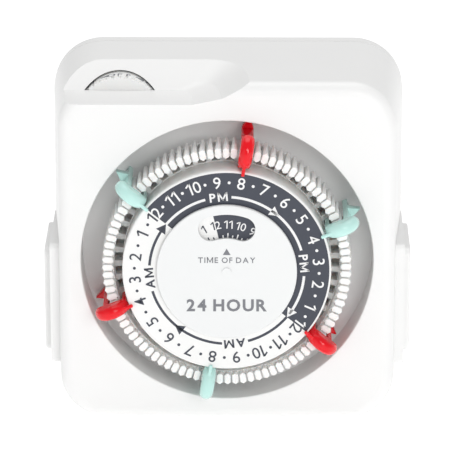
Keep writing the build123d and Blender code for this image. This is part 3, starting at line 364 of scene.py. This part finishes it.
def glyph(character, height, weight):
    """One figure or capital of a set height, centred up and down."""
    stroke = STROKE_SHARE * height + 2 * weight
    if character == "1":
        return digit_one(height, stroke)
    if character == "M":
        return letter_m(height, stroke)
    bpy.ops.object.select_all(action="DESELECT")
    bpy.ops.object.text_add(rotation=(pi / 2, 0, 0))
    text = bpy.context.active_object
    text.data.body = character
    text.data.size = height / FONT_SHARE
    text.data.extrude = INK / 2
    text.data.offset = weight
    text.data.resolution_u = 3
    bpy.ops.object.convert(target="MESH")
    text = bpy.context.active_object
    settle(text)
    foot = text.bound_box[0][2]
    head = text.bound_box[6][2]
    return place(text, Matrix.Translation((0, 0, -(foot + head) / 2)))


def lettering(words, height, weight=0.0, gap=0.14):
    """Words as a thin mesh in the plane y = 0, centred, facing the front."""
    glyphs = []
    reach = 0.0
    for character in words:
        if character == " ":
            reach += SPACE_SHARE * height
            continue
        piece = glyph(character, height, weight)
        left = piece.bound_box[0][0]
        right = piece.bound_box[6][0]
        glyphs.append(place(piece, Matrix.Translation((reach - left, 0, 0))))
        reach += right - left + gap * height
    return place(join(glyphs), Matrix.Translation((-(reach - gap * height) / 2, 0, 0)))


def half_lettering(words, height, weight, side):
    """Words cut off at their middle, kept to the right (1) or the left (-1)."""
    half = lettering(words, height, weight)
    only(half)
    bpy.ops.object.mode_set(mode="EDIT")
    bpy.ops.mesh.select_all(action="SELECT")
    bpy.ops.mesh.bisect(plane_co=(0, 0, 0), plane_no=(1, 0, 0), use_fill=True, clear_inner=side > 0,
                        clear_outer=side < 0)
    bpy.ops.object.mode_set(mode="OBJECT")
    return half


# ---- finishes ----
def new_material(name, colour, roughness, metallic=0.0):
    """Material with object coordinates and a principled shader ready for detail."""
    material = bpy.data.materials.new(name)
    material.use_nodes = True
    nodes = material.node_tree.nodes
    shader = nodes["Principled BSDF"]
    shader.inputs["Base Color"].default_value = (*colour, 1)
    shader.inputs["Roughness"].default_value = roughness
    shader.inputs["Metallic"].default_value = metallic
    coordinates = nodes.new("ShaderNodeTexCoord")
    return material, shader, coordinates


def vary(material, shader, coordinates, colour, roughness, scale, tone, gloss):
    """Slow drift of tone and gloss over the surface."""
    nodes = material.node_tree.nodes
    links = material.node_tree.links
    noise = nodes.new("ShaderNodeTexNoise")
    noise.inputs["Scale"].default_value = scale
    noise.inputs["Detail"].default_value = 4
    links.new(coordinates.outputs["Object"], noise.inputs["Vector"])
    mix = nodes.new("ShaderNodeMix")
    mix.data_type = "RGBA"
    mix.inputs["A"].default_value = (*[part * (1 - tone) for part in colour], 1)
    mix.inputs["B"].default_value = (*[min(1.0, part * (1 + tone)) for part in colour], 1)
    links.new(noise.outputs["Fac"], mix.inputs["Factor"])
    links.new(mix.outputs["Result"], shader.inputs["Base Color"])
    span = nodes.new("ShaderNodeMapRange")
    span.inputs["To Min"].default_value = roughness - gloss
    span.inputs["To Max"].default_value = roughness + gloss
    links.new(noise.outputs["Fac"], span.inputs["Value"])
    links.new(span.outputs["Result"], shader.inputs["Roughness"])


def grain(material, shader, coordinates, scale, depth, stretch=(1, 1, 1)):
    """Fine bump, stretched along one axis where the finish is drawn or rolled."""
    nodes = material.node_tree.nodes
    links = material.node_tree.links
    mapping = nodes.new("ShaderNodeMapping")
    mapping.inputs["Scale"].default_value = stretch
    noise = nodes.new("ShaderNodeTexNoise")
    noise.inputs["Scale"].default_value = scale
    noise.inputs["Detail"].default_value = 3
    bump = nodes.new("ShaderNodeBump")
    bump.inputs["Strength"].default_value = 0.35
    bump.inputs["Distance"].default_value = depth
    links.new(coordinates.outputs["Object"], mapping.inputs["Vector"])
    links.new(mapping.outputs["Vector"], noise.inputs["Vector"])
    links.new(noise.outputs["Fac"], bump.inputs["Height"])
    links.new(bump.outputs["Normal"], shader.inputs["Normal"])


def moulded(name, colour, roughness=0.38, grain_scale=2600, grain_depth=0.02 * MM, tone=0.012,
            scatter=0.0):
    """Injection-moulded plastic with a fine spark-eroded texture."""
    material, shader, coordinates = new_material(name, colour, roughness)
    vary(material, shader, coordinates, colour, roughness, scale=45, tone=tone, gloss=0.04)
    grain(material, shader, coordinates, grain_scale, grain_depth)
    shader.inputs["IOR"].default_value = 1.5
    if scatter:
        shader.inputs["Subsurface Weight"].default_value = scatter
        shader.inputs["Subsurface Radius"].default_value = (1.2 * MM, 1.0 * MM, 0.9 * MM)
        shader.inputs["Subsurface Scale"].default_value = 1.0
    return material


def glossy(name, colour):
    """Polished, slightly milky plastic of the trippers."""
    roughness = 0.26
    material, shader, coordinates = new_material(name, colour, roughness)
    vary(material, shader, coordinates, colour, roughness, scale=160, tone=0.04, gloss=0.04)
    grain(material, shader, coordinates, scale=900, depth=0.006 * MM)
    shader.inputs["Specular IOR Level"].default_value = 0.05
    shader.inputs["Subsurface Weight"].default_value = 0.12
    shader.inputs["Subsurface Radius"].default_value = [0.6 * MM * (0.2 + part) for part in colour]
    shader.inputs["Subsurface Scale"].default_value = 1.0
    shader.inputs["Coat Weight"].default_value = 0.7
    shader.inputs["Coat Roughness"].default_value = 0.05
    return material


def rolled(name, colour, roughness=0.3, stretch=(1, 18, 1)):
    """Metal with fine lines from rolling or drawing."""
    material, shader, coordinates = new_material(name, colour, roughness, metallic=1.0)
    vary(material, shader, coordinates, colour, roughness, scale=220, tone=0.06, gloss=0.08)
    grain(material, shader, coordinates, scale=1400, depth=0.01 * MM, stretch=stretch)
    return material


def ink(name, colour):
    """Screen-printed ink."""
    roughness = 0.48
    material, shader, coordinates = new_material(name, colour, roughness)
    vary(material, shader, coordinates, colour, roughness, scale=700, tone=0.03, gloss=0.05)
    grain(material, shader, coordinates, scale=3000, depth=0.01 * MM)
    return material


FINISHES = {}


def make_finishes(colours):
    """Every finish, by name."""
    FINISHES.update({
        "covers": moulded("Cover White", colours.covers),
        "ring": moulded("Ring White", (0.90, 0.895, 0.88), roughness=0.4, scatter=0.5),
        "plate": moulded("Plate White", (0.86, 0.86, 0.85), roughness=0.42, grain_depth=0.01 * MM),
        "cap": moulded("Cap White", (0.80, 0.81, 0.81), roughness=0.36, grain_depth=0.01 * MM),
        "drum": moulded("Drum White", (0.88, 0.88, 0.87), roughness=0.35, scatter=0.1),
        "natural": moulded("Natural Acetal", (0.80, 0.76, 0.64), roughness=0.45),
        "off": glossy("Off Red", colours.off_clip),
        "on": glossy("On Green", colours.on_clip),
        "slate": ink("Slate Ink", colours.slate),
        "white_ink": ink("White Ink", (0.84, 0.84, 0.84)),
        "grey_ink": ink("Grey Ink", (0.19, 0.195, 0.215)),
        "steel": rolled("Bright Steel", (0.62, 0.62, 0.63)),
        "brass": rolled("Rolled Brass", (0.74, 0.56, 0.27), roughness=0.26, stretch=(1, 1, 16)),
        "plate_metal": rolled("Rolled Plate", (0.56, 0.57, 0.58), roughness=0.4, stretch=(16, 1, 1)),
        "lead": moulded("Lead Sleeve", (0.02, 0.02, 0.022), roughness=0.5),
    })


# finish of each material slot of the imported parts
SLOT_FINISH = {
    "white_shell": "covers",
    "white_ring": "ring",
    "dial_print": "plate",
    "cap_white": "cap",
    "red_clip": "off",
    "mint_clip": "on",
    "gear_plastic": "natural",
    "steel": "steel",
    "brass_contact": "brass",
    "plate_metal": "plate_metal",
    "lead_black": "lead",
}
# finish of the parts that differ from their slot
NODE_FINISH = {"override_drum": "drum", "cap_button": "cap"}


class TIMER_OT_finishes(bpy.types.Operator):
    """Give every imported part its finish"""
    bl_idname = "timer.finishes"
    bl_label = "Finishes"

    def execute(self, context):
        make_finishes(context.scene.timer_colours)
        for part in frame["record"]["subparts"]:
            obj = frame["nodes"][part["node"]]
            finish = NODE_FINISH.get(part["node"], SLOT_FINISH[part["material_slot"]])
            obj.data.materials.clear()
            obj.data.materials.append(FINISHES[finish])
        return {"FINISHED"}


# ---- dial print ----
def print_arrow(angle, circle, size, y):
    """Arrowhead whose tip stands at an angle on an arc, pointing clockwise."""
    arrow = place(flat_shape(3, size, y), round_dial(90))
    return set_on_circle(arrow, circle, angle - degrees(asin(size / circle)))


def number_half(first_angle, circle, height, weight, y):
    """Numerals 11 to 1 of one half day, with half of the 12 at either end."""
    numerals = []
    for hour in range(1, 12):
        numeral = lettering(str(12 - hour), height, weight)
        numerals.append(set_on_circle(numeral, circle, first_angle + HOUR_STEP * hour, y))
    for angle, side in ((first_angle, 1), (first_angle + HALF_DAY, -1)):
        twelve = half_lettering("12", height, weight, side)
        numerals.append(set_on_circle(twelve, circle, angle, y))
    return numerals


def print_half(sizes, words, first_angle, y):
    """Numerals, dots, words, arcs and arrowheads of one half day."""
    pieces = number_half(first_angle, sizes.numeral_circle, sizes.numeral, sizes.numeral_weight, y)
    for hour in range(12):
        dot = flat_shape(DOT_CORNERS, sizes.dot, y)
        pieces.append(set_on_circle(dot, sizes.numeral_circle, first_angle + HOUR_STEP * (hour + 0.5)))
    for angle in HALF_DAY_WORDS:
        word = lettering(words, WORD_HEIGHT, weight=0.08 * MM, gap=0.24)
        pieces.append(set_on_circle(word, sizes.arc_circle, first_angle + angle, y))
    inner = sizes.arc_circle - sizes.arc_width / 2
    outer = sizes.arc_circle + sizes.arc_width / 2
    for start, sweep in ARCS:
        pieces.append(swept_band(inner, outer, y, y + INK, first_angle + start, sweep))
    for angle in ARROWS:
        pieces.append(print_arrow(first_angle + angle, sizes.arc_circle, sizes.arrow, y))
    return pieces


class TIMER_OT_dial_print(bpy.types.Operator):
    """Print the night half, numerals, dots and arcs on the dial plate"""
    bl_idname = "timer.dial_print"
    bl_label = "Dial Print"

    def execute(self, context):
        sizes = context.scene.timer_sizes
        ground = PLATE_FRONT - INK
        face = ground - INK
        inner = CAP_EDGE - NIGHT_INSIDE
        outer = PLATE_EDGE - NIGHT_MARGIN
        night = swept_band(inner, outer, ground, PLATE_FRONT, MIDNIGHT, HALF_DAY)
        own(night, "night_half", "dial", FINISHES["slate"])
        pale = join(print_half(sizes, "PM", MIDNIGHT, face))
        own(pale, "night_print", "dial", FINISHES["white_ink"])
        dark = join(print_half(sizes, "AM", MIDNIGHT + HALF_DAY, ground))
        own(dark, "day_print", "dial", FINISHES["slate"])
        return {"FINISHED"}


def ring_half(sizes, first_angle, y):
    """Numerals and ticks of one half day of the hour ring."""
    pieces = number_half(first_angle, sizes.ring_circle, sizes.ring_numeral, RING_WEIGHT, y)
    for hour in range(12):
        ticks = (HOUR_TICK, HALF_HOUR_TICK) if hour else (HALF_HOUR_TICK,)
        for head, start, sweep in ticks:
            angle = first_angle + HOUR_STEP * hour + start
            pieces.append(swept_band(TICK_FOOT, head, y, y + INK, angle, sweep))
    return pieces


class TIMER_OT_hour_ring(bpy.types.Operator):
    """Print the inner hour ring that shows in the cap's window"""
    bl_idname = "timer.hour_ring"
    bl_label = "Hour Ring"

    def execute(self, context):
        sizes = context.scene.timer_sizes
        ground = PLATE_FRONT - INK
        face = ground - INK
        night = swept_band(*RING_BAND, ground, PLATE_FRONT, NOW_ANGLE, HALF_DAY)
        own(night, "hour_ring_night", "dial", FINISHES["slate"])
        pale = join(ring_half(sizes, NOW_ANGLE, face))
        own(pale, "hour_ring_pale", "dial", FINISHES["white_ink"])
        dark = join(ring_half(sizes, NOW_ANGLE + HALF_DAY, ground))
        own(dark, "hour_ring_dark", "dial", FINISHES["slate"])
        return {"FINISHED"}


class TIMER_OT_cap_print(bpy.types.Operator):
    """Print the pointer and the words on the centre cap"""
    bl_idname = "timer.cap_print"
    bl_label = "Cap Print"

    def execute(self, context):
        y = CAP_FRONT - INK
        pointer = flat_shape(3, POINTER_SIZE, y)
        place(pointer, Matrix.Translation((0, 0, POINTER_UP)))
        caption = lettering("TIME OF DAY", CAPTION_HEIGHT, weight=0.02 * MM, gap=0.25)
        place(caption, Matrix.Translation((0, y, CAPTION_UP)))
        own(join([pointer, caption]), "cap_pointer_print", "housing", FINISHES["grey_ink"])
        title = lettering("24 HOUR", TITLE_HEIGHT, weight=0.12 * MM, gap=0.2)
        place(title, Matrix.Translation((0, y, TITLE_UP)))
        own(title, "cap_title_print", "housing", FINISHES["grey_ink"])
        return {"FINISHED"}


def drum_mark(character):
    """Letter, or an arrowhead for <, that lies flat on the top of the drum's rim."""
    if character == "<":
        mark = flat_shape(3, DRUM_ARROW_SIZE, -INK / 2)
        place(mark, Matrix.Scale(DRUM_ARROW_STRETCH, 4, (0, 0, 1)))
        place(mark, round_dial(-90))
    else:
        mark = lettering(character, DRUM_LETTER_HEIGHT, weight=0.02 * MM)
    return place(mark, Matrix.Rotation(radians(-90), 4, "X"))


class TIMER_OT_drum_print(bpy.types.Operator):
    """Print ON and OFF round the override drum"""
    bl_idname = "timer.drum_print"
    bl_label = "Drum Print"

    def execute(self, context):
        marks = []
        circle = DRUM_RADIUS - 0.01 * MM
        y = DRUM_LOW.y + DRUM_PRINT_DEPTH
        for sector in range(DRUM_SECTORS):
            words = "ON" if sector % 2 else "OFF"
            middle = (len(words) - 1) / 2
            shifts = [("<", DRUM_ARROW_SHIFT)]
            for index, letter in enumerate(words):
                shifts.append((letter, (index - middle) * DRUM_LETTER_SPREAD))
            for character, shift in shifts:
                angle = 360 / DRUM_SECTORS * sector + shift
                marks.append(set_on_circle(drum_mark(character), circle, angle, y))
        drum = join(marks)
        place(drum, Matrix.Translation((DRUM_CENTRE.x, 0, DRUM_CENTRE.z)))
        own(drum, "drum_print", "override", FINISHES["grey_ink"])
        return {"FINISHED"}


# ---- trippers ----
def clip_box(width, y_front, y_back, span, rounding):
    """Rounded block of a tripper, from one radius of its span to the other."""
    inner, outer = span
    bpy.ops.object.select_all(action="DESELECT")
    bpy.ops.mesh.primitive_cube_add(size=1, location=(0, (y_front + y_back) / 2, (inner + outer) / 2))
    block = bpy.context.active_object
    block.scale = (width, y_back - y_front, outer - inner)
    settle(block)
    modify(block, "BEVEL", width=rounding, segments=2)
    return block


def clip_arch(back):
    """Half-disc with rounded edges over the crown, flat at its back."""
    reach = CLIP_SPAN / 2
    bpy.ops.object.select_all(action="DESELECT")
    bpy.ops.mesh.primitive_cylinder_add(vertices=56, radius=reach, depth=CLIP_WIDTH,
                                        location=(0, back, CLIP_INNER + reach), rotation=(0, pi / 2, 0))
    arch = settle(bpy.context.active_object)
    modify(arch, "BEVEL", width=CLIP_ROUNDING, segments=7)
    bpy.ops.object.mode_set(mode="EDIT")
    bpy.ops.mesh.select_all(action="SELECT")
    bpy.ops.mesh.bisect(plane_co=(0, back, 0), plane_no=(0, 1, 0), use_fill=True, clear_outer=True)
    bpy.ops.object.mode_set(mode="OBJECT")
    return arch


def clip_nose(depth):
    """Three-sided nose that steps the star wheel, some way behind the front face."""
    bpy.ops.object.select_all(action="DESELECT")
    bpy.ops.mesh.primitive_cylinder_add(vertices=3, radius=1, depth=1, rotation=(pi / 2, 0, 0))
    nose = settle(bpy.context.active_object)
    nose.scale = NOSE_SIZE
    nose.location = (0, FACE_FRONT + depth + NOSE_HALF_DEPTH, RING_EDGE + NOSE_OUT)
    settle(nose)
    modify(nose, "BEVEL", width=0.12 * MM, segments=2)
    return nose


def make_tripper(node, nose_depth):
    """Round-backed clip over the crown with two legs, a peg, a nub and a nose."""
    low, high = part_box(node)
    back = low.y + CLIP_SPAN / 2
    leg_front = back - LEG_OVERLAP
    nub_back = PLATE_FRONT - NUB_LIFT
    nub_span = (PLATE_EDGE - NUB_REACH, CLIP_INNER + CLIP_SPAN / 2 - NUB_ROOT)
    arch = clip_arch(back)
    outer_leg = clip_box(OUTER_LEG_WIDTH, leg_front, high.y, OUTER_LEG_SPAN, 0.25 * MM)
    inner_end = FACE_FRONT + INNER_LEG_DEPTH
    inner_leg = clip_box(INNER_LEG_WIDTH, leg_front, inner_end, INNER_LEG_SPAN, 0.25 * MM)
    peg = clip_box(PEG_WIDTH, FACE_FRONT, FACE_FRONT + PEG_DEPTH, PEG_SPAN, 0.15 * MM)
    nub = clip_box(NUB_WIDTH, nub_back - NUB_THICKNESS, nub_back, nub_span, 0.2 * MM)
    clip = join([arch, outer_leg, inner_leg, peg, nub, clip_nose(nose_depth)])
    modify(clip, "REMESH", mode="VOXEL", voxel_size=CLIP_GRAIN)
    modify(clip, "SMOOTH", factor=0.5, iterations=3)
    only(clip)
    bpy.ops.object.shade_smooth_by_angle(angle=radians(60))
    return clip


class TIMER_OT_trippers(bpy.types.Operator):
    """Model the trippers that clip over the crown"""
    bl_idname = "timer.trippers"
    bl_label = "Trippers"

    def execute(self, context):
        for kind, angles, slot, nose_depth in TRIPPERS:
            for number, angle in enumerate(angles, start=1):
                node = f"{kind}_tripper_{number}"
                clip = place(make_tripper(node, nose_depth), round_dial(angle))
                own(clip, f"{kind}_clip_{number}", node, FINISHES[kind], (node,))
        return {"FINISHED"}


# ---- stage ----
def softbox(name, location, target, size, power):
    """Square area light aimed at a point."""
    data = bpy.data.lights.new(name, "AREA")
    data.energy = power
    data.size = size
    light = bpy.data.objects.new(name, data)
    bpy.context.scene.collection.objects.link(light)
    light.location = location
    light.rotation_euler = (target - Vector(location)).to_track_quat("-Z", "Y").to_euler()


def lay_floor():
    """Pale floor that the timer's lowest edge stands on."""
    bpy.ops.object.select_all(action="DESELECT")
    bpy.ops.mesh.primitive_plane_add(size=6, location=(0, 0, CAD_BOX[0].z))
    floor = bpy.context.active_object
    floor.name = "studio_floor"
    settle(floor)
    paper = moulded("Studio Floor", (0.93, 0.93, 0.93), roughness=0.7, grain_scale=40,
                    grain_depth=0.05 * MM, tone=0.004)
    shader = paper.node_tree.nodes["Principled BSDF"]
    shader.inputs["Emission Color"].default_value = (1, 1, 1, 1)
    shader.inputs["Emission Strength"].default_value = 0.4
    floor.data.materials.append(paper)


def set_camera(scene, settings):
    """Camera in front of the dial, a little above and to the right."""
    data = bpy.data.cameras.new("Camera")
    data.lens = settings.lens
    data.sensor_width = 36
    data.clip_end = 20
    camera = bpy.data.objects.new("Camera", data)
    scene.collection.objects.link(camera)
    away = Vector((sin(settings.azimuth) * cos(settings.elevation),
                   -cos(settings.azimuth) * cos(settings.elevation), sin(settings.elevation)))
    turn = (-away).to_track_quat("-Z", "Y")
    right = turn @ Vector((1, 0, 0))
    up = turn @ Vector((0, 1, 0))
    aim = Vector((0, FACE_FRONT, 0)) + right * AIM_RIGHT + up * AIM_UP
    camera.location = aim + away * settings.distance
    camera.rotation_euler = turn.to_euler()
    scene.camera = camera


class TIMER_OT_stage(bpy.types.Operator):
    """Set the floor, the lights and the camera"""
    bl_idname = "timer.stage"
    bl_label = "Stage"

    def execute(self, context):
        scene = context.scene
        lay_floor()
        world = bpy.data.worlds.new("Studio")
        world.use_nodes = True
        world.node_tree.nodes["Background"].inputs["Color"].default_value = (1, 1, 1, 1)
        world.node_tree.nodes["Background"].inputs["Strength"].default_value = 0.5
        scene.world = world
        middle = (CAD_BOX[0] + CAD_BOX[1]) / 2
        for name, location, size, power in LIGHTS:
            softbox(name, location, middle, size, power)
        scene.view_settings.view_transform = "Standard"
        set_camera(scene, scene.timer_stage)
        return {"FINISHED"}


# ---- add-on ----
class TIMER_PT_panel(bpy.types.Panel):
    """Sizes, colours and building steps of the timer"""
    bl_idname = "TIMER_PT_panel"
    bl_label = "Programmable Timer"
    bl_space_type = "VIEW_3D"
    bl_region_type = "UI"
    bl_category = "Timer"

    def draw(self, context):
        layout = self.layout
        for group in (context.scene.timer_sizes, context.scene.timer_colours, context.scene.timer_stage):
            column = layout.column(align=True)
            for name in group.__annotations__:
                column.prop(group, name)
        for step in STEPS:
            layout.operator(step.bl_idname)


STEPS = (
    TIMER_OT_finishes,
    TIMER_OT_dial_print,
    TIMER_OT_hour_ring,
    TIMER_OT_cap_print,
    TIMER_OT_drum_print,
    TIMER_OT_trippers,
    TIMER_OT_stage,
)
CLASSES = (TimerSizes, TimerColours, TimerStage) + STEPS + (TIMER_PT_panel,)


def register():
    """Register the classes and hang the settings on the scene."""
    for item in CLASSES:
        bpy.utils.register_class(item)
    bpy.types.Scene.timer_sizes = bpy.props.PointerProperty(type=TimerSizes)
    bpy.types.Scene.timer_colours = bpy.props.PointerProperty(type=TimerColours)
    bpy.types.Scene.timer_stage = bpy.props.PointerProperty(type=TimerStage)


def unregister():
    """Take the settings and the classes away again."""
    del bpy.types.Scene.timer_stage
    del bpy.types.Scene.timer_colours
    del bpy.types.Scene.timer_sizes
    for item in reversed(CLASSES):
        bpy.utils.unregister_class(item)


def main():
    """Run every building step."""
    register()
    bpy.ops.timer.finishes()
    bpy.ops.timer.dial_print()
    bpy.ops.timer.hour_ring()
    bpy.ops.timer.cap_print()
    bpy.ops.timer.drum_print()
    bpy.ops.timer.trippers()
    bpy.ops.timer.stage()


if __name__ == "__main__":
    main()
